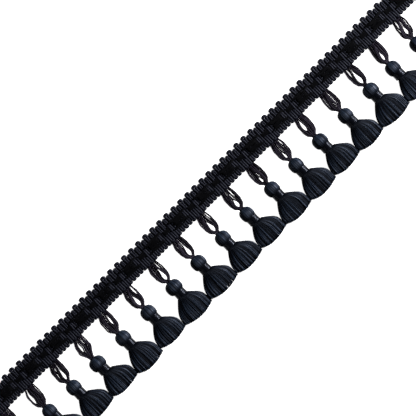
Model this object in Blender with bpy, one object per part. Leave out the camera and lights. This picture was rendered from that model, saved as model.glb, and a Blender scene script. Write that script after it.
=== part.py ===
"""Tassel fringe trim: a cut length of picot-edged gimp braid with a row of tied floss tassels, lying on its back.

X runs along the braid, +Y points to the picot edge and -Y down the tassels, and +Z is up. The origin is the
middle of the braid's back, which lies on the surface z = 0. All sizes in the tables are in millimetres.
"""

from collections import namedtuple
import math

import bpy
import bmesh

MM = 0.001

# Driving dimensions, in millimetres.
TASSEL_PITCH = 19.15
PICOTS_PER_TASSEL = 3.5
PICOT_SHIFT = -1.6
BRAID_TOP = 6.75
BRAID_BOTTOM = -6.7
BRAID_THICKNESS = 1.5
GAP = 0.3

# One tall loop and one short loop of the gimp cord for each picot pitch, and scallops half as far apart below.
TALL_PICOT_WIDTH = 2.7
SHORT_PICOT_WIDTH = 1.9
SHORT_PICOT_TOP = 5.1
PICOT_VALLEY = 4.4
SHOULDER_DROP = 0.8
SHOULDER_INSET = 0.45
SCALLOP_DEPTH = 0.5

# The floss band: a raised patch midway between tassels, pressed flat where the hangers cross it.
FLOSS_MIDDLE = -0.6
FLOSS_ARCH_POINTS = 4
FLOSS_EDGE = 0.4
FlossStep = namedtuple("FlossStep", "along half_width height")
FLOSS_STEPS = [
    FlossStep(along=0.10, half_width=1.9, height=0.35),
    FlossStep(along=0.32, half_width=2.7, height=0.8),
    FlossStep(along=0.68, half_width=2.7, height=0.8),
    FlossStep(along=0.90, half_width=1.9, height=0.35),
]

# A hanger is a flat leaf of cords, from the braid's middle to the top of the head.
HangerStep = namedtuple("HangerStep", "y half_width low high")
HANGER_STEPS = [
    HangerStep(y=0.6, half_width=2.7, low=2.5, high=3.3),
    HangerStep(y=-6.9, half_width=3.1, low=2.4, high=3.5),
    HangerStep(y=-11.6, half_width=3.7, low=2.3, high=3.9),
    HangerStep(y=-15.4, half_width=3.5, low=2.4, high=4.3),
    HangerStep(y=-18.4, half_width=2.5, low=2.6, high=4.7),
    HangerStep(y=-20.3, half_width=1.2, low=2.8, high=4.7),
]
LEAF_HALF_WIDTH = 3.7
SWAY_POWER = 1.5

# A tassel is one bundle of floss: the round head, the tied waist and the skirt that fans out on the surface.
HEAD_TOP = -20.7
HEAD_LENGTH = 7.5
HEAD_HEIGHT = 7.7
HEAD_MIDDLE = 3.55
HEAD_CUTS = (0.04, 0.30, 0.70, 0.95)
WAIST_RADIUS = 2.0
WAIST_TOP = 7.7
WAIST_END = 11.2
SKIRT_END = 25.4
BODY_SIDES = 10
SkirtStep = namedtuple("SkirtStep", "fall reach low high")
SKIRT_STEPS = [
    SkirtStep(fall=0.10, reach=0.42, low=0.4, high=6.7),
    SkirtStep(fall=0.34, reach=0.76, low=-0.3, high=5.7),
    SkirtStep(fall=0.62, reach=0.98, low=-0.4, high=4.7),
    SkirtStep(fall=0.88, reach=1.00, low=-0.4, high=3.7),
    SkirtStep(fall=1.00, reach=0.74, low=-0.3, high=2.7),
]
WRAP_INNER = WAIST_RADIUS + GAP
WRAP_OUTER = 3.1
WRAP_START = 7.9
WRAP_END = 11.0
WRAP_SIDES = 8

# One row for each tassel, left to right: how far its head sways from its hanger's place, the head's width, how much
# longer the skirt is, where it parts from the next skirt (from the midpoint), and the largest gap in its hanger.
Tassel = namedtuple("Tassel", "sway head longer parting gap_middle gap_width gap_top gap_end")
TASSELS = [
    #     sway head longer part  gap: middle width top  end
    Tassel(-0.7, 8.1,  0.0,  0.3,  0.2, 1.6,  -9.0, -18.2),
    Tassel(-0.7, 7.6,  0.1,  0.3, -1.8, 1.9,  -8.4, -18.4),
    Tassel(-1.2, 7.8, -0.1,  0.7, -0.9, 1.2,  -9.6, -17.6),
    Tassel(-1.8, 8.8, -0.3,  0.6, -1.4, 1.2,  -7.9, -14.6),
    Tassel(-1.1, 8.1,  0.9, -0.2,  0.3, 0.8, -10.2, -17.6),
    Tassel(-0.5, 8.3, -0.3, -0.7,  0.1, 2.0, -10.8, -18.2),
    Tassel( 0.1, 9.0,  0.3,  0.2,  0.4, 2.2, -11.6, -18.4),
    Tassel( 0.0, 8.3,  0.1,  1.4,  0.0, 2.3, -11.4, -18.4),
    Tassel(-0.1, 8.0,  0.1,  1.3,  0.1, 2.2, -10.6, -18.2),
    Tassel(-0.5, 7.6, -0.3,  1.3,  0.0, 2.4, -12.0, -18.6),
    Tassel(-0.2, 8.1,  0.1,  1.2, -0.4, 1.1, -12.4, -18.2),
    Tassel(-0.7, 7.7,  0.5,  1.0,  0.0, 1.0,  -9.4, -17.8),
    Tassel(-1.2, 8.4, -0.1,  0.8, -1.4, 1.9,  -8.2, -18.2),
    Tassel(-0.5, 7.9,  0.0, -0.2,  0.2, 0.7, -13.0, -17.6),
    Tassel(-0.1, 8.4,  0.2,  1.0, -0.2, 2.3, -10.0, -18.4),
    Tassel(-2.0, 7.9,  0.0,  0.4,  0.0, 0.9, -13.0, -18.0),
    Tassel(-2.1, 8.2, -0.2,  0.4, -1.2, 1.4,  -9.2, -17.8),
    Tassel(-1.5, 8.0,  0.1,  0.0,  0.3, 1.8, -10.4, -18.2),
]
COUNT = len(TASSELS)
LENGTH = COUNT * TASSEL_PITCH
END_REACH = 9.0


def material(name, colour, roughness):
    """A dyed yarn: a Principled shader with one linear colour."""
    made = bpy.data.materials.new(name)
    made.use_nodes = True
    shader = made.node_tree.nodes["Principled BSDF"]
    shader.inputs["Base Color"].default_value = (*colour, 1.0)
    shader.inputs["Roughness"].default_value = roughness
    shader.inputs["Metallic"].default_value = 0.0
    made.diffuse_color = (*colour, 1.0)
    return made


def node(name, points, faces, finish, smooth):
    """One closed object from points in millimetres, with its faces turned outwards."""
    mesh = bpy.data.meshes.new(name)
    mesh.from_pydata([(x * MM, y * MM, z * MM) for x, y, z in points], [], faces)
    shape = bmesh.new()
    shape.from_mesh(mesh)
    bmesh.ops.recalc_face_normals(shape, faces=shape.faces)
    shape.to_mesh(mesh)
    shape.free()
    if smooth:
        mesh.shade_smooth()
        mesh.set_sharp_from_angle(angle=math.radians(50))
    mesh.materials.append(finish)
    made = bpy.data.objects.new(name, mesh)
    bpy.context.scene.collection.objects.link(made)
    return made


def loft(name, rings, finish):
    """A skin over rings that have the same number of points, closed by a flat face at each end."""
    sides = len(rings[0])
    points = [point for ring in rings for point in ring]
    faces = [list(range(sides)), [len(points) - 1 - k for k in range(sides)]]
    for row in range(len(rings) - 1):
        for k in range(sides):
            here, there = row * sides + k, row * sides + (k + 1) % sides
            faces.append([here, there, there + sides, here + sides])
    return node(name, points, faces, finish, smooth=True)


def lattice(index):
    """The X of a tassel's place on the braid, counted from the left."""
    return (index - (COUNT - 1) / 2) * TASSEL_PITCH


def between(y, steps, column):
    """A column of a table of steps, interpolated at y."""
    for above, below in zip(steps, steps[1:]):
        if above.y >= y >= below.y:
            share = (above.y - y) / (above.y - below.y)
            return getattr(above, column) * (1 - share) + getattr(below, column) * share
    return getattr(steps[-1], column)


def braid_outline():
    """The braid's outline: picots along the top from left to right, then scallops back along the bottom."""
    pitch = TASSEL_PITCH / PICOTS_PER_TASSEL
    left, right = -LENGTH / 2, LENGTH / 2
    top = []
    for n in range(round(LENGTH / pitch)):
        tall = left + pitch * (n + 0.5) + PICOT_SHIFT
        short = tall + pitch / 2
        half, flat = TALL_PICOT_WIDTH / 2, TALL_PICOT_WIDTH / 2 - SHOULDER_INSET
        valley = (pitch / 2 + half - SHORT_PICOT_WIDTH / 2) / 2
        top += [
            (tall - valley, PICOT_VALLEY),
            (tall - half, BRAID_TOP - SHOULDER_DROP),
            (tall - flat, BRAID_TOP),
            (tall + flat, BRAID_TOP),
            (tall + half, BRAID_TOP - SHOULDER_DROP),
            (tall + valley, PICOT_VALLEY),
            (short - SHORT_PICOT_WIDTH / 2, SHORT_PICOT_TOP),
            (short + SHORT_PICOT_WIDTH / 2, SHORT_PICOT_TOP),
        ]
    kept = [(x, y) for x, y in top if left + GAP < x < right - GAP]
    bottom = []
    for n in range(round(LENGTH / pitch), 0, -1):
        edge = left + pitch * n
        bottom.append((edge - pitch * 0.25, BRAID_BOTTOM))
        bottom.append((edge - pitch * 0.75, BRAID_BOTTOM + SCALLOP_DEPTH))
    left_end = [(left, BRAID_BOTTOM), (left, PICOT_VALLEY)]
    right_end = [(right, PICOT_VALLEY), (right, BRAID_BOTTOM)]
    return left_end + kept + right_end + bottom


def heading_braid(finish):
    """The woven gimp braid: its outline, as thick as the cord and its binding threads."""
    outline = braid_outline()
    count = len(outline)
    points = [(x, y, 0.0) for x, y in outline] + [(x, y, BRAID_THICKNESS) for x, y in outline]
    faces = [list(range(count))[::-1], list(range(count, 2 * count))]
    for k in range(count):
        after = (k + 1) % count
        faces.append([k, after, after + count, k + count])
    return node("heading_braid", points, faces, finish, smooth=False)


def centre_floss(finish):
    """The floss band over the braid's middle, high and wide between tassels and low and narrow at each one."""
    low = BRAID_THICKNESS + GAP
    rings = []
    for index in range(COUNT):
        for step in FLOSS_STEPS:
            x = lattice(index) + step.along * TASSEL_PITCH
            if x < LENGTH / 2:
                rings.append(floss_ring(x, step, low))
    first, last = FLOSS_STEPS[2], FLOSS_STEPS[1]
    rings.insert(0, floss_ring(-LENGTH / 2 + GAP, first, low))
    rings.append(floss_ring(LENGTH / 2 - GAP, last, low))
    return loft("centre_floss", rings, finish)


def floss_ring(x, step, low):
    """A section of the band: a flat bottom, upright edges and an arch between them."""
    points = [(x, FLOSS_MIDDLE + step.half_width, low)]
    for k in range(FLOSS_ARCH_POINTS):
        turn = math.pi * k / (FLOSS_ARCH_POINTS - 1)
        rise = FLOSS_EDGE + (1 - FLOSS_EDGE) * math.sin(turn)
        points.append((x, FLOSS_MIDDLE + step.half_width * math.cos(turn), low + step.height * rise))
    points.append((x, FLOSS_MIDDLE - step.half_width, low))
    return points


def hanger(index, row, finish):
    """A leaf of cords with its largest gap cut through: four columns of points, where the two inner ones part."""
    inside = [step.y for step in HANGER_STEPS if row.gap_top > step.y > row.gap_end]
    levels = [HANGER_STEPS[0].y, HANGER_STEPS[1].y, row.gap_top, *inside, row.gap_end, HANGER_STEPS[-1].y]
    middle, half_gap = (row.gap_top + row.gap_end) / 2, (row.gap_top - row.gap_end) / 2
    points, rows = [], []
    for y in levels:
        fallen = (levels[0] - y) / (levels[0] - levels[-1])
        centre = lattice(index) + row.sway * fallen ** SWAY_POWER
        half = between(y, HANGER_STEPS, "half_width")
        seam = centre + row.gap_middle * half / LEAF_HALF_WIDTH
        across = [centre - half, seam, centre + half]
        if y in inside:
            parted = row.gap_width / 2 * math.sqrt(1 - ((y - middle) / half_gap) ** 2)
            across = [centre - half, seam - parted, seam + parted, centre + half]
        under, over = between(y, HANGER_STEPS, "low"), between(y, HANGER_STEPS, "high")
        low = list(range(len(points), len(points) + len(across)))
        high = [key + len(across) for key in low]
        points += [(x, y, under) for x in across] + [(x, y, over) for x in across]
        if y not in inside:
            low.insert(1, low[1])
            high.insert(1, high[1])
        rows.append((low, high))
    faces = []
    for (low_a, high_a), (low_b, high_b) in zip(rows, rows[1:]):
        for left, right in ((0, 1), (2, 3)):
            faces.append([low_a[left], low_a[right], low_b[right], low_b[left]])
            faces.append([high_a[left], high_b[left], high_b[right], high_a[right]])
        gap_here = low_a[1] != low_a[2] or low_b[1] != low_b[2]
        for side in (0, 1, 2, 3) if gap_here else (0, 3):
            faces.append([low_a[side], low_b[side], high_b[side], high_a[side]])
    for low, high in (rows[0], rows[-1]):
        for left, right in ((0, 1), (2, 3)):
            faces.append([low[left], low[right], high[right], high[left]])
    return node(f"hanger_{index + 1:02d}", points, faces, finish, smooth=False)


def body_ring(y, left, right, low, high):
    """An oval across a tassel, flattened where it meets the surface."""
    points = []
    for k in range(BODY_SIDES):
        turn = 2 * math.pi * k / BODY_SIDES
        x = (left + right) / 2 + (right - left) / 2 * math.cos(turn)
        z = (low + high) / 2 + (high - low) / 2 * math.sin(turn)
        points.append((x, y, max(z, 0.0)))
    return points


def tassel(index, row, finish):
    """The head is half an ellipse turned along Y, and the skirt widens to its parting from each neighbour."""
    x = lattice(index) + row.sway
    rings = []
    widest = math.sqrt(1 - (2 * HEAD_CUTS[1] - 1) ** 2)
    for cut in HEAD_CUTS:
        size = math.sqrt(1 - (2 * cut - 1) ** 2) / widest / 2
        half, tall = row.head * size, HEAD_HEIGHT * size
        rings.append(
            body_ring(HEAD_TOP - cut * HEAD_LENGTH, x - half, x + half, HEAD_MIDDLE - tall, HEAD_MIDDLE + tall)
        )
    for depth in (WAIST_TOP, WAIST_END):
        rings.append(
            body_ring(
                HEAD_TOP - depth,
                x - WAIST_RADIUS,
                x + WAIST_RADIUS,
                HEAD_MIDDLE - WAIST_RADIUS,
                HEAD_MIDDLE + WAIST_RADIUS,
            )
        )
    left, right = skirt_sides(index)
    fall = SKIRT_END + row.longer - WAIST_END
    for step in SKIRT_STEPS:
        rings.append(
            body_ring(
                HEAD_TOP - WAIST_END - step.fall * fall,
                x + (left - x) * step.reach,
                x + (right - x) * step.reach,
                step.low,
                step.high,
            )
        )
    return loft(f"tassel_{index + 1:02d}", rings, finish)


def skirt_sides(index):
    """The X of a skirt's left and right corners: half a gap from the parting with each neighbour."""
    here = lattice(index)
    left, right = here - END_REACH, here + END_REACH
    if index > 0:
        left = here - TASSEL_PITCH / 2 + TASSELS[index - 1].parting + GAP / 2
    if index < COUNT - 1:
        right = here + TASSEL_PITCH / 2 + TASSELS[index].parting - GAP / 2
    return left, right


def neck_wrap(index, row, finish):
    """The thread wound round the waist: a short tube, open at both ends."""
    x = lattice(index) + row.sway
    loops = (
        (WRAP_START, WRAP_OUTER),
        (WRAP_START, WRAP_INNER),
        (WRAP_END, WRAP_INNER),
        (WRAP_END, WRAP_OUTER),
    )
    flats = math.cos(math.pi / WRAP_SIDES)
    points = []
    for depth, radius in loops:
        for k in range(WRAP_SIDES):
            turn = 2 * math.pi * (k + 0.5) / WRAP_SIDES
            across, up = math.cos(turn) * radius / flats, math.sin(turn) * radius / flats
            points.append((x + across, HEAD_TOP - depth, HEAD_MIDDLE + up))
    faces = []
    for loop in range(len(loops)):
        after = (loop + 1) % len(loops)
        for k in range(WRAP_SIDES):
            beside = (k + 1) % WRAP_SIDES
            faces.append(
                [
                    loop * WRAP_SIDES + k,
                    loop * WRAP_SIDES + beside,
                    after * WRAP_SIDES + beside,
                    after * WRAP_SIDES + k,
                ]
            )
    return node(f"neck_wrap_{index + 1:02d}", points, faces, finish, smooth=True)


def main():
    for old in list(bpy.data.objects):
        bpy.data.objects.remove(old, do_unlink=True)
    gimp = material("gimp cord", (0.016, 0.016, 0.021), 0.75)
    floss = material("matt floss", (0.004, 0.004, 0.006), 0.85)
    cord = material("two-ply cord", (0.018, 0.016, 0.020), 0.7)
    satin = material("satin floss", (0.010, 0.012, 0.018), 0.45)
    binding = material("binding thread", (0.012, 0.013, 0.018), 0.35)
    heading_braid(gimp)
    centre_floss(floss)
    for index, row in enumerate(TASSELS):
        hanger(index, row, cord)
        tassel(index, row, satin)
        neck_wrap(index, row, binding)


main()
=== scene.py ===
"""Tassel fringe trim: the yarns, cords and floss of a woven gimp heading with tied tassels, laid flat.

Lengths are in millimetres up to make_piece(), which turns them into metres. X runs along the trim, Y from
the skirts up to the picot edge of the heading, and Z up from the surface that the trim lies on.
"""

from collections import namedtuple

import bpy
import numpy as np
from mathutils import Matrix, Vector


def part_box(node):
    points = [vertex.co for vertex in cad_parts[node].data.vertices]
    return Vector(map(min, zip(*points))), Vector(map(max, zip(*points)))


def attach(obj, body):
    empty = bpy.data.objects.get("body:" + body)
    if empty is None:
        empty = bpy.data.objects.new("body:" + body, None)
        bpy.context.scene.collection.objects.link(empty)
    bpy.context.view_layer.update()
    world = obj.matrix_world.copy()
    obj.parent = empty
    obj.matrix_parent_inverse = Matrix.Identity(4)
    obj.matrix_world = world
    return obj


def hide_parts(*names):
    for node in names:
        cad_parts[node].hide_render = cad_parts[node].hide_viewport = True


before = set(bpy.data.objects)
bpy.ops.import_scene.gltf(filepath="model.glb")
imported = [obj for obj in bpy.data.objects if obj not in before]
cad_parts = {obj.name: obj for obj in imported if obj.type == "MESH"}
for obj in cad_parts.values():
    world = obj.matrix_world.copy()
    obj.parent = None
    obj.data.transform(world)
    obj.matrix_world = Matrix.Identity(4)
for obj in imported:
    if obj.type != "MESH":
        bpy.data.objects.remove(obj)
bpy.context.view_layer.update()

MM = 0.001
UP = np.array([0.0, 0.0, 1.0])
ANY_PHASE = 6.3  # a wave starts anywhere in its turn

TASSELS = 18
LEGS_PER_TASSEL = 14

# The gimp
GIMP_RADIUS = 0.7
GIMP_CLEAR = 0.06  # between the gimp and the surface under it
LEG_POINTS = 17
TURN_ANGLES = np.radians([20, 55, 90, 125, 160])
TURN_POWERS = (0.4, 0.14)  # how square a turn is at the top and at the bottom: 1 is round, 0 is square
FIRST_LEG = 0.8  # from the cut end to the first leg's middle
SHORT_LOOP_TOP = 5.95  # the height that the short picots reach
PROUD_ABOVE, PROUD_BELOW = 0.63, 0.8  # how far plain turns stand past the heading's solid
PICOT_BULGE = 0.2  # how far a tall picot's two legs open at its top
PICOT_FULLER = 0.2  # how much thicker the cord is there, as a share
PINCH, PINCH_BELOW = 0.2, 0.05  # how far two legs draw together under a picot, and over a scallop

# Places along the heading from the nearest hanger's middle, as start, end and slope
LEFT_WINDOW, RIGHT_WINDOW = (-6.3, -3.3, 1.2), (1.7, 5.3, 1.0)  # where legs show through the floss
CORDS_UNDER = (-4.6, 4.4, 3.0)  # where the legs pass over a hanger's cords
RISE_OVER_FLOSS, RISE_OVER_CORDS = 0.7, 0.6  # how far the legs rise there

# The floss band, the binding and the ground
HEADING_MIDDLE = -0.6  # the floss band's middle line
FLOSS_REACH = 2.4  # from there to where the legs are level again
FLOSS_STRANDS, FLOSS_RADIUS = 20, 0.28
BINDING_ROWS = np.array([4.1, 3.55, 3.0, 2.45, -3.75, -4.35])  # where each thread runs
BINDING_RADIUS = 0.17
GROUND_TOP, GROUND_BOTTOM = 0.48, 0.28  # its two faces over the surface under the trim

# The hangers
CORDS, CROSSING = 12, 2  # side by side, and over them
CORD_RADIUS, CORD_TWIST = 0.5, 1.9  # half a cord's thickness, and the length of one turn of its plies
TUCK_START, TUCK_END = -10.5, -7.6  # the heights between which the cords go down under the gimp

# The tassels
NECK_TURNS, NECK_RADIUS = 14, 0.17
OUTER_STRANDS, INNER_STRANDS = 168, 56

# For each hanger: the main daylight between its cords (middle, width, top and end), a second slit higher up
# (middle and width), and the lanes that the cords on top cross between, from -1 (left) to 1 (right)
Hanger = namedtuple(
    "Hanger", "gap_middle gap_width gap_top gap_end slit_middle slit_width cross_from cross_to"
)
HANGERS = [
    Hanger(0.2, 1.6, -9.0, -18.2, 0.0, 0.0, 0.4, -0.5),
    Hanger(-2.3, 1.9, -5.4, -16.3, 1.2, 0.0, 0.0, 0.7),
    Hanger(0.4, 1.4, -11.8, -18.4, -1.2, 0.5, 0.1, -0.8),
    Hanger(-1.4, 1.1, -7.0, -14.2, 0.9, 0.3, 0.3, 0.8),
    Hanger(1.4, 0.9, -7.4, -15.1, -2.0, 0.3, -0.2, -0.5),
    Hanger(0.0, 2.0, -11.2, -18.4, 2.1, 0.6, 0.3, -0.6),
    Hanger(0.3, 2.0, -11.8, -18.6, 0.0, 0.0, -0.3, 0.6),
    Hanger(0.3, 2.1, -11.8, -18.6, 1.3, 0.0, 0.3, -0.6),
    Hanger(0.0, 2.2, -11.0, -18.4, 2.2, 0.5, 0.35, -0.75),
    Hanger(0.0, 2.2, -12.4, -18.4, 1.8, 0.2, 0.6, -0.5),
    Hanger(-0.3, 1.2, -13.4, -18.2, 1.9, 0.0, -0.4, 0.2),
    Hanger(-0.4, 1.0, -14.0, -18.0, 2.2, 0.7, -0.2, -0.7),
    Hanger(-1.5, 1.7, -7.0, -15.1, 1.0, 0.0, 0.2, 0.6),
    Hanger(0.2, 0.0, -13.0, -17.6, 1.0, 0.0, 0.4, -0.3),
    Hanger(-0.1, 2.2, -10.0, -18.4, -1.8, 0.6, -0.1, 0.6),
    Hanger(0.0, 1.2, -12.2, -17.8, -1.6, 0.1, 0.4, -0.4),
    Hanger(0.0, 1.3, -12.3, -16.5, -1.8, 1.0, 0.4, -0.6),
    Hanger(0.3, 1.8, -10.4, -18.2, -1.5, 0.4, 0.3, -0.6),
]


# ---- what the frame says ----


def box(node):
    """The lowest and highest corners of a CAD node, in millimetres."""
    low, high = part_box(node)
    return np.array(low) / MM, np.array(high) / MM


def outline(node):
    """The edges of a CAD node at each height where it has a section: rows y, left, right, low and high."""
    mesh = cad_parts[node].data
    points = np.empty(len(mesh.vertices) * 3)
    mesh.vertices.foreach_get("co", points)
    points = points.reshape(-1, 3) / MM
    sections = []
    for y in np.unique(points[:, 1].round(2)):
        section = points[abs(points[:, 1] - y) < 0.02]
        low, high = section.min(axis=0), section.max(axis=0)
        if high[0] > low[0]:
            sections.append((y, low[0], high[0], low[2], high[2]))
    return np.array(sections).T


# ---- surfaces from arrays ----


def unit(vectors):
    """The vectors at length one."""
    return vectors / np.linalg.norm(vectors, axis=-1, keepdims=True)


def smooth(value, low, high):
    """0 up to low, 1 from high on, and the S curve 3t^2 - 2t^3 between."""
    t = np.clip((value - low) / (high - low), 0, 1)
    return t * t * (3 - 2 * t)


def between(value, start, end, slope):
    """1 from start to end and 0 outside, with an S curve of length slope centred on each."""
    begun = smooth(value, start - slope / 2, start + slope / 2)
    return begun * (1 - smooth(value, end - slope / 2, end + slope / 2))


def length_so_far(paths):
    """The length from the start of each path to each of its points: the running sum of its steps."""
    run = np.zeros(paths.shape[:-1])
    run[..., 1:] = np.cumsum(np.linalg.norm(np.diff(paths, axis=-2), axis=-1), axis=-1)
    return run


def tubes(paths, radius, sides, tone):
    """Yarns carried along paths of the shape (yarns, steps, 3).

    A point of the skin is path + radius * (cos(a) * side + sin(a) * rise) as a goes once round: side is level
    and square to the path, and rise is square to both. Flat caps close the ends. The pattern map is
    millimetres along the yarn and round it, and tone is one number for each yarn or for each of its steps.
    """
    count, steps = paths.shape[:2]
    radius = np.broadcast_to(radius, (count, steps))
    ahead = unit(np.gradient(paths, axis=1))
    side = unit(np.cross(ahead, UP))
    rise = np.cross(side, ahead)
    turn = np.arange(sides) * 2 * np.pi / sides
    ring = np.cos(turn)[:, None] * side[:, :, None] + np.sin(turn)[:, None] * rise[:, :, None]
    points = paths[:, :, None] + radius[:, :, None, None] * ring
    number = np.arange(count * steps * sides).reshape(count, steps, sides)
    after = np.roll(number, -1, axis=2)
    skin = np.stack([number[:, :-1], number[:, 1:], after[:, 1:], after[:, :-1]], axis=-1).reshape(-1, 4)
    along = np.broadcast_to(length_so_far(paths)[:, :, None], number.shape)
    girth = 2 * np.pi * radius.mean()
    round_it = np.broadcast_to(np.arange(sides) / sides * girth, number.shape)
    past_it = round_it + girth / sides
    u = np.stack([along[:, :-1], along[:, 1:], along[:, 1:], along[:, :-1]], axis=-1).reshape(-1, 4)
    v = np.stack([round_it[:, :-1], round_it[:, 1:], past_it[:, 1:], past_it[:, :-1]], axis=-1)
    caps = np.concatenate([number[:, 0], number[:, -1, ::-1]])
    return {
        "points": points.reshape(-1, 3),
        "faces": [skin, caps],
        "map": [np.stack([u, v.reshape(-1, 4)], axis=-1), np.zeros((*caps.shape, 2))],
        "tone": np.repeat(np.broadcast_to(np.reshape(tone, (count, -1)), (count, steps)).ravel(), sides),
    }


def shell(rings, girth, tone):
    """A closed skin over rings of the shape (rings, points round, 3), with a pole at the middle of each end.

    Each point of a ring is joined to the next one on and to the same point of the next ring. The pattern map
    is millimetres from ring to ring along the skin, and millimetres round, girth in all.
    """
    steps, around = rings.shape[:2]
    number = np.arange(steps * around).reshape(steps, around)
    after = np.roll(number, -1, axis=1)
    skin = np.stack([number[:-1], after[:-1], after[1:], number[1:]], axis=-1).reshape(-1, 4)
    first, last = steps * around, steps * around + 1
    start = np.stack([np.full(around, first), after[0], number[0]], axis=-1)
    end = np.stack([np.full(around, last), number[-1], after[-1]], axis=-1)
    poles = [rings[0].mean(axis=0)[None], rings[-1].mean(axis=0)[None]]
    points = np.concatenate([rings.reshape(-1, 3), *poles])
    run = np.zeros(steps)
    run[1:] = np.cumsum(np.linalg.norm(np.diff(rings, axis=0), axis=2).max(axis=1))
    round_it = np.broadcast_to(np.arange(around) / around * girth, (steps, around))
    past_it = round_it + girth / around
    along = np.broadcast_to(run[:, None], (steps, around))
    u = np.stack([along[:-1], along[:-1], along[1:], along[1:]], axis=-1).reshape(-1, 4)
    v = np.stack([round_it[:-1], past_it[:-1], past_it[1:], round_it[1:]], axis=-1).reshape(-1, 4)
    return {
        "points": points,
        "faces": [skin, start, end],
        "map": [np.stack([u, v], axis=-1), np.zeros((around, 3, 2)), np.full((around, 3, 2), run[-1])],
        "tone": np.full(len(points), tone),
    }


def make_piece(name, parts, material, node):
    """One mesh object of several parts, in metres, with its map and tones, riding on the trim's body."""
    shift = np.cumsum([0] + [len(part["points"]) for part in parts])
    faces = [face + shift[i] for i, part in enumerate(parts) for face in part["faces"]]
    pattern = [corner for part in parts for corner in part["map"]]
    corners = np.concatenate([face.ravel() for face in faces])
    sizes = np.concatenate([np.full(len(face), face.shape[1]) for face in faces])
    mesh = bpy.data.meshes.new(name)
    mesh.vertices.add(shift[-1])
    mesh.vertices.foreach_set("co", (np.concatenate([part["points"] for part in parts]) * MM).ravel())
    mesh.loops.add(len(corners))
    mesh.loops.foreach_set("vertex_index", corners.astype(np.int32))
    mesh.polygons.add(len(sizes))
    mesh.polygons.foreach_set("loop_start", (np.cumsum(sizes) - sizes).astype(np.int32))
    mesh.polygons.foreach_set("use_smooth", np.ones(len(sizes), dtype=bool))
    layer = mesh.uv_layers.new(name="Yarn")
    layer.data.foreach_set("uv", np.concatenate([corner.reshape(-1, 2) for corner in pattern]).ravel())
    tone = mesh.attributes.new("tone", "FLOAT", "POINT")
    tone.data.foreach_set("value", np.concatenate([part["tone"] for part in parts]))
    mesh.update(calc_edges=True)
    mesh.validate()
    mesh.materials.append(material)
    piece = bpy.data.objects.new(name, mesh)
    bpy.context.scene.collection.objects.link(piece)
    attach(piece, "root")
    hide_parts(node)
    return piece


# ---- materials ----


def colour(code):
    """A linear RGBA from an sRGB hex code.

    Each channel is ((c + 0.055) / 1.055) ** 2.4, or c / 12.92 in the darks.
    """
    channels = [int(code[i : i + 2], 16) / 255 for i in (1, 3, 5)]
    return [c / 12.92 if c <= 0.04045 else ((c + 0.055) / 1.055) ** 2.4 for c in channels] + [1.0]


def add(tree, kind, fields=(), values=(), links=()):
    """Adds a node, sets its fields and sockets, and links its inputs from (node, output) pairs."""
    node = tree.nodes.new(kind)
    for name, value in dict(fields).items():
        setattr(node, name, value)
    for name, value in dict(values).items():
        node.inputs[name].default_value = value
    for name, (source, output) in dict(links).items():
        tree.links.new(source.outputs[output], node.inputs[name])
    return node


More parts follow.
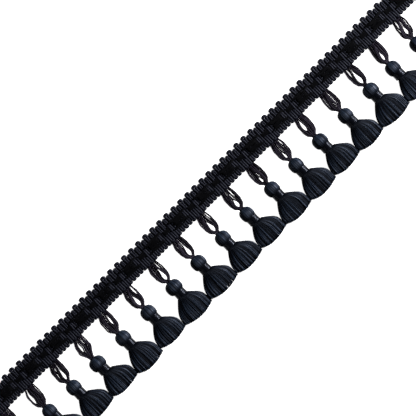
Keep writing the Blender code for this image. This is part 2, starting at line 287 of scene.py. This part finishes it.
def yarn(name, dark, light, grain, bump, dull, bright, surface, wrap=0.0):
    """A yarn's material: long fine grain that follows the pattern map, and a tone of its own for each yarn.

    The grain is noise stretched along the yarn, grain = (along, round) in cycles to the millimetre. The grain
    plus half the tone mixes the dark colour with the light one and the dull roughness with the bright one,
    and the grain raises the surface by bump millimetres. Where the yarn has a fine thread wound round it,
    wrap is the millimetres from turn to turn, and the grain is two thirds of the noise plus half a slanted
    band for each turn.
    """
    material = bpy.data.materials.new(name)
    material.use_nodes = True
    tree = material.node_tree
    shader = tree.nodes["Principled BSDF"]
    for socket, value in surface.items():
        shader.inputs[socket].default_value = value
    pattern = add(tree, "ShaderNodeUVMap", {"uv_map": "Yarn"})
    stretched = add(
        tree,
        "ShaderNodeMapping",
        {},
        {"Scale": (grain[0], grain[1], 1.0)},
        {"Vector": (pattern, "UV")},
    )
    fibres = add(
        tree,
        "ShaderNodeTexNoise",
        {},
        {"Scale": 1.0, "Detail": 3.0},
        {"Vector": (stretched, "Vector")},
    )
    grain_height = (fibres, "Fac")
    if wrap:
        slant = add(
            tree,
            "ShaderNodeMapping",
            {},
            {"Rotation": (0.0, 0.0, 0.3)},
            {"Vector": (pattern, "UV")},
        )
        # A wave texture repeats every pi / 10 / Scale
        turns = add(
            tree,
            "ShaderNodeTexWave",
            {},
            {"Scale": np.pi / 10 / wrap, "Distortion": 0.8, "Detail": 1.0},
            {"Vector": (slant, "Vector")},
        )
        wound_fibres = add(
            tree,
            "ShaderNodeMath",
            {"operation": "MULTIPLY_ADD"},
            {1: 0.5},
            {0: (turns, "Fac"), 2: (fibres, "Fac")},
        )
        evened = add(
            tree,
            "ShaderNodeMath",
            {"operation": "MULTIPLY"},
            {1: 0.67},
            {0: (wound_fibres, "Value")},
        )
        grain_height = (evened, "Value")
    tone = add(tree, "ShaderNodeAttribute", {"attribute_name": "tone"})
    mixed = add(
        tree,
        "ShaderNodeMath",
        {"operation": "MULTIPLY_ADD"},
        {1: 0.5},
        {0: (tone, "Fac"), 2: grain_height},
    )
    shade = add(
        tree,
        "ShaderNodeMapRange",
        {"interpolation_type": "SMOOTHSTEP"},
        {"From Min": 0.4, "From Max": 1.1},
        {"Value": (mixed, "Value")},
    )
    blend = add(
        tree,
        "ShaderNodeMix",
        {"data_type": "RGBA"},
        {"A": colour(dark), "B": colour(light)},
        {"Factor": (shade, "Result")},
    )
    gloss = add(
        tree,
        "ShaderNodeMapRange",
        {},
        {"To Min": dull, "To Max": bright},
        {"Value": (shade, "Result")},
    )
    relief = add(
        tree,
        "ShaderNodeBump",
        {},
        {"Strength": 1.0, "Distance": bump * MM},
        {"Height": grain_height},
    )
    tree.links.new(blend.outputs["Result"], shader.inputs["Base Color"])
    tree.links.new(gloss.outputs["Result"], shader.inputs["Roughness"])
    tree.links.new(relief.outputs["Normal"], shader.inputs["Normal"])
    if "Anisotropic" in surface:
        lengthwise = add(tree, "ShaderNodeTangent", {"direction_type": "UV_MAP", "uv_map": "Yarn"})
        tree.links.new(lengthwise.outputs["Tangent"], shader.inputs["Tangent"])
    return material


# ---- the heading ----


def legs():
    """The place of each gimp leg along the heading, and the distance from one leg to the next."""
    low, high = box("heading_braid")
    pitch = (high[0] - low[0]) / (TASSELS * LEGS_PER_TASSEL)
    return low[0] + FIRST_LEG + pitch * np.arange(TASSELS * LEGS_PER_TASSEL), pitch


def from_hanger(x):
    """Millimetres along the heading from the nearest hanger's middle: a sawtooth wave of a tassel's pitch."""
    low, high = box("heading_braid")
    pitch = (high[0] - low[0]) / TASSELS
    return ((x - low[0]) / pitch % 1 - 0.5) * pitch


def gimp_weft(material):
    """One cord that runs up and down across the heading, with a half turn at the end of each leg.

    A leg is a straight climb that leans by a sine and draws in and out by S curves, and a turn's height is
    the sine of its angle to a low power. The upper turns are tall and short picots by turns, and a tall
    picot's cord is fuller. The legs lie level but for two places, where they rise in S curves: over the floss
    on each side of a hanger, and over the hanger's cords.
    """
    low, high = box("heading_braid")
    place, pitch = legs()
    turn = pitch / 2
    bottom = low[1] - PROUD_BELOW + turn + GIMP_RADIUS
    tops = np.array([high[1] + PROUD_ABOVE, SHORT_LOOP_TOP]) - turn - GIMP_RADIUS
    rise = np.linspace(0, 1, LEG_POINTS)
    rng = np.random.default_rng(3)
    x, y, full = [], [], []
    for k, leg in enumerate(place):
        short = k // 2 % 2
        up = k % 2 == 0
        climb = rise if up else rise[::-1]
        lean, late = rng.uniform(-0.08, 0.08), rng.uniform(-0.12, 0.08)
        top = tops[short] + late
        crown = smooth(climb, 0.8, 1) * (1 - short)
        opened = (PINCH + PICOT_BULGE) * crown
        shift = (PINCH + PINCH_BELOW) * smooth(climb, 0.2, 0.7) - PINCH_BELOW - opened
        x.append(leg + lean * np.sin(np.pi * rise) + (1 if up else -1) * shift)
        y.append(bottom + (top - bottom) * climb)
        full.append(crown)
        inward = PINCH - (PINCH + PICOT_BULGE) * (1 - short) if up else PINCH_BELOW
        end, reach, power = (top, turn, TURN_POWERS[0]) if up else (bottom, -turn, TURN_POWERS[1])
        x.append(leg + turn - (turn - inward) * np.cos(TURN_ANGLES))
        y.append(end + reach * np.sin(TURN_ANGLES) ** power)
        full.append(np.full(len(TURN_ANGLES), (1 - short) * up))
    # The last leg has no turn after it
    x, y, full = (np.concatenate(values[:-1]) for values in (x, y, full))
    along = from_hanger(x)
    windows = np.maximum(between(along, *LEFT_WINDOW), between(along, *RIGHT_WINDOW))
    over_floss = windows * smooth(FLOSS_REACH - abs(y - HEADING_MIDDLE), 0, 0.9)
    over_cords = between(along, *CORDS_UNDER) * smooth(-y, 2.2, 3.6)
    radius = GIMP_RADIUS * (1 + PICOT_FULLER * full)
    z = radius + GIMP_CLEAR + np.maximum(RISE_OVER_FLOSS * over_floss, RISE_OVER_CORDS * over_cords)
    part = tubes(np.stack([x, y, z], axis=-1)[None], radius, 10, [0.5])
    make_piece("gimp_weft", [part], material, "heading_braid")


def binding_warp(material):
    """Fine threads along the heading over one gimp leg and under the next: a cosine wave of two legs."""
    place, pitch = legs()
    x = np.arange(place[0] - 0.4, place[-1] + 0.4, pitch / 3)
    odd = np.arange(len(BINDING_ROWS)) % 2
    wave = np.cos(np.pi * ((x - place[0]) / pitch + odd[:, None]))
    z = np.maximum(GIMP_RADIUS + (GIMP_RADIUS + 0.1) * wave, BINDING_RADIUS + 0.02)
    y = np.broadcast_to(BINDING_ROWS[:, None], z.shape)
    paths = np.stack([np.broadcast_to(x, z.shape), y, z], axis=-1)
    part = tubes(paths, BINDING_RADIUS, 5, np.linspace(0, 1, len(BINDING_ROWS)))
    make_piece("binding_warp", [part], material, "heading_braid")


def ground_weave(material):
    """The thin close ground that the gimp is woven through: a level sheet with two faces and four edges.

    Its height is a small check, the product of a sine wave along the heading and one across it.
    """
    low = box("heading_braid")[0]
    place, pitch = legs()
    x = np.arange(place[0] - 0.3, place[-1] + 0.3, pitch / 2)
    y = np.linspace(low[1] + 0.45, SHORT_LOOP_TOP - 0.45, 15)
    across, along = np.meshgrid(y, x)
    ripple = 0.05 * np.sin(np.pi * (along - place[0]) / pitch) * np.sin(np.pi * across / 0.7)
    top = np.stack([along, across, GROUND_TOP + ripple], axis=-1)
    bottom = np.stack([along, across, GROUND_BOTTOM + ripple], axis=-1)
    width, length = y[-1] - y[0], x[-1] - x[0]
    part = shell(np.concatenate([top, bottom[:, ::-1]], axis=1), 2 * width, 0.2)
    piece = make_piece("ground_weave", [part], material, "heading_braid")


def floss_band(material):
    """Matt floss strands along the middle of the heading.

    Between two hangers they all lie on the gimp in an arched patch. On each side of a hanger the outer
    strands stay on top and the inner ones weave under the legs in a cosine wave, and at the hanger the
    strands draw together on top again. S curves lead from one to the next.
    """
    low, high = box("centre_floss")
    place, pitch = legs()
    rng = np.random.default_rng(7)
    each = (FLOSS_STRANDS, 1)
    x = np.arange(low[0], high[0], pitch / 2)
    lane = np.linspace(-1, 1, FLOSS_STRANDS)[:, None]
    along = from_hanger(x)
    away = np.where(along < 0, abs(along + 0.7), 1.1 * along)
    wander = 0.12 * np.sin(x * rng.uniform(0.3, 0.5, each) + rng.uniform(0, ANY_PHASE, each))
    lane_here = lane + wander
    spread = smooth(away, 1.0, 3.8)
    y = HEADING_MIDDLE + 0.2 * (1 - spread) + lane_here * (1.1 + 1.7 * spread)
    arch = np.sqrt(np.clip(1 - lane_here**2, 0, 1))
    outer = smooth(abs(lane), 0.5, 0.9)
    patch = smooth(away, 5.3 - 2.2 * outer, 6.5 - 2.2 * outer)
    on_top = np.maximum(patch, 1 - smooth(away, 1.6, 2.8))
    weave = 1.25 - 0.5 * np.cos(np.pi * (x - place[0]) / pitch)
    z = weave * (1 - on_top) + (1.6 + 0.65 * arch * patch) * on_top + 0.12 * rng.uniform(-1, 1, each)
    paths = np.stack([np.broadcast_to(x, z.shape), y, z], axis=-1)
    part = tubes(paths, FLOSS_RADIUS, 5, rng.uniform(0, 1, FLOSS_STRANDS))
    make_piece("floss_band", [part], material, "centre_floss")


# ---- one tassel ----


def two_ply(centres, radius, pitch, sides, tones):
    """Twisted cords: each centre line carries two plies that wind round it, half a turn apart.

    A ply's middle is the centre line plus 0.42 of the cord's radius, turned once in pitch millimetres, and
    the ply is 0.62 times as thick as the cord.
    """
    ahead = unit(np.gradient(centres, axis=1))
    side = unit(np.cross(ahead, UP))
    rise = np.cross(side, ahead)
    run = length_so_far(centres)
    plies = []
    for half_turn in (0, np.pi):
        angle = (2 * np.pi * run / pitch + half_turn)[:, :, None]
        plies.append(centres + 0.42 * radius * (np.cos(angle) * side + np.sin(angle) * rise))
    return tubes(np.concatenate(plies), radius * 0.62, sides, np.concatenate([tones, tones]))


def squeezed(x, side, half, middle, opening):
    """Places across a hanger, moved off a slit.

    The cords on each side of the slit (-1 or 1) keep their order and close up towards their own edge.
    """
    room = np.maximum(half - side * middle, 0.05)
    return middle + side * opening + (x - middle) * np.maximum(room - opening, 0) / room


def hanger(number, material):
    """The cords of one hanger: they start under the gimp, bow apart round daylight, and close on the head.

    A cord's x is the hanger's middle line plus its lane times the half width there, squeezed aside by the
    slits, which open and close as sines. The crossing cords lie on top and go from one lane to another
    instead, by an S curve. The others lie in two layers by turns, and the lower layer has dark tones:
    painted shade under the upper layer.
    """
    node = f"hanger_{number:02d}"
    row = HANGERS[number - 1]
    heights, left, right, low, high = outline(node)
    rng = np.random.default_rng(100 + number)
    each = (CORDS, 1)
    y = np.linspace(heights[-1] - 1.2, heights[0] - 1.2, 54)
    # A little narrower than the solid near the heading, and fuller at the belly and where it closes
    gathered = smooth(y, -11.0, -7.5)
    middle = np.interp(y, heights, (left + right) / 2) + 0.2 * gathered
    half = 1.06 * np.interp(y, heights, (right - left) / 2) + 0.35 - CORD_RADIUS - 0.3 * gathered
    half += 0.4 * np.exp(-(((y - heights[1]) / 1.4) ** 2)) + 0.2 * np.exp(-(((y + 16.2) / 1.3) ** 2))
    base = np.interp(y, heights, (low + high) / 2)
    fall = np.clip((heights[-1] - y) / (heights[-1] - heights[0]), 0, 1)

    lane = np.linspace(-1, 1, CORDS)[:, None]
    drift = rng.uniform(-0.08, 0.08, each) * np.sin(np.pi * fall) * (abs(lane) < 0.9)
    x = (lane + drift) * half
    # The main gap is widest low down, and the slit runs from 7 to 13 mm below the heading's middle
    share = np.clip((row.gap_top - y) / (row.gap_top - row.gap_end + 0.9), 0, 1)
    gap = (row.gap_width / 2 + 0.1) * np.sin(np.pi * share**1.9) ** 0.9
    slit_half = row.slit_width / 2 + 0.1 * (row.slit_width > 0)
    slit = slit_half * np.sin(np.pi * np.clip((-7.0 - y) / 6.0, 0, 1)) ** 0.8
    # 3.3 mm is a common half width, so it says which side of a slit a lane is on
    side = np.where(lane * 3.3 > np.array([row.slit_middle, row.gap_middle]), 1.0, -1.0)
    x = squeezed(x, side[:, :1], half, row.slit_middle, slit)
    x = squeezed(x, side[:, 1:], half, row.gap_middle, gap)

    # The second crossing cord runs a little later than the first, and beside it
    second = np.array([[0.0], [1.0]])
    crossed = smooth(fall, 0.15 + 0.06 * second, 0.85 + 0.06 * second)
    crosser = row.cross_from + (row.cross_to - row.cross_from) * crossed
    crosser = crosser + 0.26 * second * np.sign(row.cross_to - row.cross_from)
    x = np.concatenate([x, np.clip(crosser, -1, 1) * half])

    # The layers lie 1 mm apart, and nearly level once they are tucked under the gimp
    layer = np.where(np.arange(CORDS) % 2 == 0, 1.0, -1.0)[:, None] * 0.5
    layer = np.concatenate([layer + rng.uniform(-0.12, 0.12, each), [[0.75], [0.7]]])
    tuck = smooth(y, TUCK_START, TUCK_END)
    z = (base + layer) * (1 - tuck) + (0.6 + 0.08 * layer) * tuck
    centres = np.stack([middle + x, np.broadcast_to(y, x.shape), z], axis=-1)
    tones = rng.uniform(0, 1, CORDS + CROSSING)
    # The lower layer's cords take dark tones: painted shade under the upper layer
    tones[1:CORDS:2] = 0.3 * tones[1:CORDS:2] - 0.7
    part = two_ply(centres, CORD_RADIUS, CORD_TWIST, 5, tones)
    make_piece(f"hanger_cords_{number:02d}", [part], material, node)


def head(number, material):
    """The tied head: a ball with soft lobes where the floss lies in locks, and a flat where it rests.

    Its half width is a superellipse from pole to pole, and the lobes are a sum of cosines round it.
    """
    node = f"tassel_{number:02d}"
    wrap_low, wrap_high = box(f"neck_wrap_{number:02d}")
    heights, left, right = outline(node)[:3]
    widest = np.searchsorted(heights, wrap_high[1] + 1.5)
    middle = (left[widest] + right[widest]) / 2
    half = (right[widest] - left[widest]) / 2 + 0.28
    top, bottom = heights[-1] + 0.35, wrap_high[1] - 0.35
    rng = np.random.default_rng(200 + number)
    around, steps = 120, 20
    down = np.sin(np.linspace(-0.995, 0.995, steps) * np.pi / 2)
    # Squarer towards the neck than towards the hanger
    power = np.where(down > 0, 3.0, 2.2)
    swell = ((1 - abs(down) ** power) ** (1 / power))[:, None]
    angle = np.arange(around) * 2 * np.pi / around
    lobes = sum(
        rng.uniform(0.4, 1) * np.cos(n * angle + rng.uniform(0, ANY_PHASE)) for n in (5, 8, 13, 21, 32)
    )
    out = half * swell * (1 + 0.01 * (lobes - 1) * swell)
    x = middle + out * np.cos(angle)
    y = (top + bottom) / 2 - down * (top - bottom) / 2
    z = np.maximum((wrap_low[2] + wrap_high[2]) / 2 + 0.9 * out * np.sin(angle), 0.05)
    rings = np.stack([x, np.broadcast_to(y[:, None], x.shape), z], axis=-1)
    part = shell(rings, 2 * np.pi * half, 0.5)
    # The lobes' tones fade to dark over the lower half, where the floss turns in under the thread: painted
    # shade on the ball's underside
    painted_underside_shade = 1 - 0.9 * smooth(down, 0.2, 0.7)
    part["tone"][: steps * around] = (np.clip(0.5 + 0.3 * lobes, 0, 1) * painted_underside_shade[:, None]).ravel()
    make_piece(f"head_{number:02d}", [part], material, node)


def wound(path, radius, sides):
    """A tube along one helix about a line in Y: path + radius * (cos(a) * side + sin(a) * rise).

    Side is square to the path and to Y, and rise is square to both. The pattern map is millimetres along the
    thread, and one radius for each side round it.
    """
    ahead = unit(np.gradient(path, axis=0))
    side = unit(np.cross(ahead, [0.0, 1.0, 0.0]))
    rise = np.cross(side, ahead)
    turn = np.arange(sides) * 2 * np.pi / sides
    ring = np.cos(turn)[:, None] * side[:, None] + np.sin(turn)[:, None] * rise[:, None]
    points = path[:, None] + radius * ring
    number = np.arange(points.shape[0] * sides).reshape(-1, sides)
    after = np.roll(number, -1, axis=1)
    skin = np.stack([number[:-1], number[1:], after[1:], after[:-1]], axis=-1).reshape(-1, 4)
    along = np.broadcast_to(length_so_far(path)[:, None], number.shape)
    round_it = np.broadcast_to(np.arange(sides) * radius, number.shape)
    past_it = round_it + radius
    u = np.stack([along[:-1], along[1:], along[1:], along[:-1]], axis=-1).reshape(-1, 4)
    v = np.stack([round_it[:-1], round_it[1:], past_it[1:], past_it[:-1]], axis=-1).reshape(-1, 4)
    caps = np.stack([number[0], number[-1, ::-1]])
    return {
        "points": points.reshape(-1, 3),
        "faces": [skin, caps],
        "map": [np.stack([u, v], axis=-1), np.zeros((2, sides, 2))],
        "tone": np.full(points.shape[0] * sides, 0.5),
    }


def neck_wrap(number, material):
    """Satin thread wound round the waist: a helix of close turns on a neck that widens a little downwards."""
    node = f"neck_wrap_{number:02d}"
    low, high = box(node)
    middle = (low + high) / 2
    share = np.linspace(0, 1, NECK_TURNS * 20)
    angle = share * NECK_TURNS * 2 * np.pi
    flare = 0.36 + 0.12 * share**3 + 0.03 * np.sin(angle * 0.37)
    out = (high[0] - low[0]) / 2 - NECK_RADIUS + flare
    x = middle[0] + 0.2 + out * np.cos(angle)
    y = high[1] + 0.75 - share * (high[1] + 0.75 - low[1] - NECK_RADIUS)
    z = middle[2] + 0.94 * out * np.sin(angle)
    part = wound(np.stack([x, y, z], axis=-1), NECK_RADIUS, 5)
    make_piece(f"neck_wrap_thread_{number:02d}", [part], material, node)


def skirt(number, material):
    """The fanned skirt: a closed core of floss with strands all over it and through its hem.

    Across the skirt a strand keeps its share of the half width, which opens as waist + (1 - waist) * sine up
    to the spread. From the waist down its height falls from the neck's to the hem's by a power curve. The
    strands lie in locks, a sum of cosines round the skirt that lifts and lightens them, and those at the
    corners are cut shorter. The tones darken towards the waist, painted shade under the neck, and the inner
    strands and the core are darker still, painted shade inside the skirt.
    """
    node = f"tassel_{number:02d}"
    heights, left, right = outline(node)[:3]
    wrap_low, wrap_high = box(f"neck_wrap_{number:02d}")
    axis = (wrap_low[0] + wrap_high[0]) / 2
    start, end = wrap_low[1] + 0.2, heights[0]
    reach_left, reach_right = axis - left.min(), right.max() - axis
    rng = np.random.default_rng(300 + number)

    def place(across, depth, fall):
        """A point of the fan from its share across, its share from the floor to the crown, and its fall.

        The left side opens later and from a narrower waist than the right one.
        """
        spread, waist = np.where(across < 0, 0.7, 0.56), np.where(across < 0, 0.34, 0.38)
        opening = waist + (1 - waist) * np.sin(np.pi / 2 * np.clip(fall / spread, 0, 1))
        reach = np.where(across < 0, reach_left, reach_right)
        x = axis + across * reach * opening
        crown = 3.6 + 2.8 * (1 - np.clip(fall, 0, 1)) ** 1.8
        floor = 0.75 * (1 - np.clip(fall / 0.3, 0, 1))
        z = floor + (crown - floor) * depth
        y = start + (end - start) * fall
        return np.stack(np.broadcast_arrays(x, y, z), axis=-1)

    turn = (np.arange(OUTER_STRANDS) + rng.uniform(-0.3, 0.3, OUTER_STRANDS)) / OUTER_STRANDS * 2 * np.pi
    across = np.concatenate([np.cos(turn) * 0.985, rng.uniform(-0.85, 0.85, INNER_STRANDS)])
    # The inner strands stay inside the oval of the outer ones
    inner_room = np.sqrt(1 - across[OUTER_STRANDS:] ** 2)
    lift = np.concatenate([np.sin(turn), rng.uniform(-0.75, 0.75, INNER_STRANDS) * inner_room])
    count = OUTER_STRANDS + INNER_STRANDS
    length = 1.025 - 0.15 * (across - 0.07) ** 2 + rng.uniform(-0.014, 0.008, count)
    fall = np.linspace(0, 1, 9) * length[:, None]
    wobble = rng.uniform(-0.03, 0.03, count)[:, None] * fall
    paths = place(across[:, None] + wobble, (0.5 + 0.5 * lift)[:, None], fall)
    lock = sum(np.cos(n * turn + rng.uniform(0, ANY_PHASE)) for n in (9, 16, 27, 38)) / 2
    # The inner strands get darker locks, which lower them and darken their tones: painted shade inside the
    # skirt
    lock = np.concatenate([lock, rng.uniform(-1, 0, INNER_STRANDS)])
    thick = 0.13 + 0.12 * fall
    paths[:, :, 2] = np.maximum(paths[:, :, 2] + 0.35 * lock[:, None] * fall, thick)
    tones = np.clip(0.3 + 0.7 * lock + rng.uniform(-0.6, 0.6, count), 0, 1)
    # The tones fade to dark towards the waist: painted shade where the strands leave the neck
    strands = tubes(paths, thick, 4, tones[:, None] * (0.1 + 0.9 * smooth(fall, 0.05, 0.5)))

    # The core is a little smaller every way than the strands round it, and takes the darkest tone: painted
    # shade deep inside the skirt
    angle = np.arange(40) * 2 * np.pi / 40
    levels = np.linspace(0, 0.93, 10)[:, None] * (1 - 0.13 * np.cos(angle) ** 2)
    core = place(np.cos(angle) * 0.96, 0.5 + 0.47 * np.sin(angle), levels)
    inside = shell(core[:, ::-1], 30.0, 0.0)
    make_piece(f"skirt_{number:02d}", [strands, inside], material, node)


# ---- the set ----


def white_floor():
    """A wide sheet of matt white paper under the trim, lit from below as on a light table."""
    material = bpy.data.materials.new("matt_white_paper")
    material.use_nodes = True
    tree = material.node_tree
    shader = tree.nodes["Principled BSDF"]
    shader.inputs["Roughness"].default_value = 0.9
    shader.inputs["Specular IOR Level"].default_value = 0.2
    shader.inputs["Emission Color"].default_value = (1, 1, 1, 1)
    shader.inputs["Emission Strength"].default_value = 1.0
    place = add(tree, "ShaderNodeTexCoord")
    # Paper fibre about 1 mm across
    fibre = add(tree, "ShaderNodeTexNoise", {}, {"Scale": 900.0}, {"Vector": (place, "Object")})
    blend = add(
        tree,
        "ShaderNodeMix",
        {"data_type": "RGBA"},
        {"A": colour("#A6A6A6"), "B": colour("#ACACAC")},
        {"Factor": (fibre, "Fac")},
    )
    tree.links.new(blend.outputs["Result"], shader.inputs["Base Color"])
    reach = 4.0
    corners = [(-reach, -reach, 0), (reach, -reach, 0), (reach, reach, 0), (-reach, reach, 0)]
    mesh = bpy.data.meshes.new("paper")
    mesh.from_pydata(corners, [], [(0, 1, 2, 3)])
    mesh.materials.append(material)
    floor = bpy.data.objects.new("paper", mesh)
    bpy.context.scene.collection.objects.link(floor)


def area_light(name, place, size, power):
    """A soft square light, size metres across, that faces the middle of the trim."""
    light = bpy.data.lights.new(name, "AREA")
    light.shape = "SQUARE"
    light.size = size
    light.energy = power
    lamp = bpy.data.objects.new(name, light)
    lamp.location = place
    lamp.rotation_euler = (-lamp.location).to_track_quat("-Z", "Y").to_euler()
    bpy.context.scene.collection.objects.link(lamp)


def studio():
    """Dim white room light, a strong low light off the trim's right-hand end, and a weak one opposite.

    The low light draws the satin's streaks and the shadows between the yarns.
    """
    world = bpy.data.worlds.new("room")
    world.use_nodes = True
    background = world.node_tree.nodes["Background"]
    background.inputs["Color"].default_value = (1, 1, 1, 1)
    background.inputs["Strength"].default_value = 0.05
    bpy.context.scene.world = world
    area_light("side_softbox", (1.1, -0.02, 0.56), 0.5, 80.0)
    area_light("far_fill", (-0.9, 0.1, 0.7), 0.8, 3.0)
    bpy.context.scene.view_settings.view_transform = "Standard"


def camera():
    """Straight down on the trim, turned so that it runs up to the right across the picture."""
    lens, sensor, view_width = 150.0, 36.0, 0.2288
    middle_x, middle_y, middle_z = -0.003685, -0.007356, 0.0035
    lens_data = bpy.data.cameras.new("camera")
    lens_data.lens = lens
    lens_data.sensor_width = sensor
    eye = bpy.data.objects.new("camera", lens_data)
    eye.location = (middle_x, middle_y, middle_z + view_width * lens / sensor)
    eye.rotation_euler = (0, 0, -np.pi / 4)
    bpy.context.scene.collection.objects.link(eye)
    bpy.context.scene.camera = eye


# ---- making it ----

camera()
studio()
white_floor()

# The real filaments and fibres are about 0.02 mm thick, too fine to show, so each grain is drawn far coarser.

# Rayon floss wound round a cotton core, 0.42 mm from turn to turn: fine slanted ribs on each leg, and a soft
# cold gleam along its top. The mottling is about 0.5 by 0.8 mm.
gimp = yarn(
    "rayon_gimp",
    dark="#020204",
    light="#0D0E15",
    grain=(2.2, 1.2),
    bump=0.1,
    dull=0.6,
    bright=0.36,
    surface={"Specular IOR Level": 0.06, "Specular Tint": colour("#D8DCF4")},
    wrap=0.42,
)
# Spun floss with hardly any twist: fibre bundles 2 mm long and 0.2 mm wide that take up the light, so that it
# is the blackest thing on the heading.
matt_floss = yarn(
    "spun_matt_floss",
    dark="#010102",
    light="#040405",
    grain=(0.5, 5.0),
    bump=0.05,
    dull=0.9,
    bright=0.8,
    surface={"Specular IOR Level": 0.02},
)
# Two plies of rayon twisted together: a row of small, slightly warm gleams along each cord, from bundles
# 0.8 mm long and 0.17 mm wide.
cord = yarn(
    "two_ply_rayon_cord",
    dark="#040305",
    light="#19161E",
    grain=(1.2, 6.0),
    bump=0.05,
    dull=0.6,
    bright=0.4,
    surface={"Specular IOR Level": 0.05, "Specular Tint": colour("#E0DCF0")},
)
# Viscose filament laid straight: long blue-grey streaks, 8 mm by 0.4 mm, that change with the strand, with
# the light drawn out across the filaments.
satin = yarn(
    "viscose_satin_floss",
    dark="#000001",
    light="#141A24",
    grain=(0.12, 2.4),
    bump=0.08,
    dull=0.95,
    bright=0.28,
    surface={
        "Specular IOR Level": 0.08,
        "Specular Tint": colour("#D0D8F0"),
        "Anisotropic": 0.85,
        "Anisotropic Rotation": 0.25,
    },
)
# Hard satin thread wound tight: one bright narrow streak down the light side of each neck, and black beside
# it. The bundles are 1.2 mm by 0.17 mm.
thread = yarn(
    "satin_binding_thread",
    dark="#010102",
    light="#05060A",
    grain=(0.8, 6.0),
    bump=0.03,
    dull=0.3,
    bright=0.24,
    surface={
        "Specular IOR Level": 0.2,
        "Specular Tint": colour("#D0D8F0"),
        "Anisotropic": 0.5,
        "Anisotropic Rotation": 0.25,
    },
)
# Dull cotton, mottled every 0.3 mm: no gleam, only depth between the legs of the gimp.
ground = yarn(
    "cotton_ground_weave",
    dark="#020203",
    light="#050507",
    grain=(3.0, 3.0),
    bump=0.08,
    dull=0.95,
    bright=0.85,
    surface={"Specular IOR Level": 0.02},
)

gimp_weft(gimp)
binding_warp(ground)
ground_weave(ground)
floss_band(matt_floss)
for tassel in range(1, TASSELS + 1):
    hanger(tassel, cord)
    head(tassel, satin)
    neck_wrap(tassel, thread)
    skirt(tassel, satin)
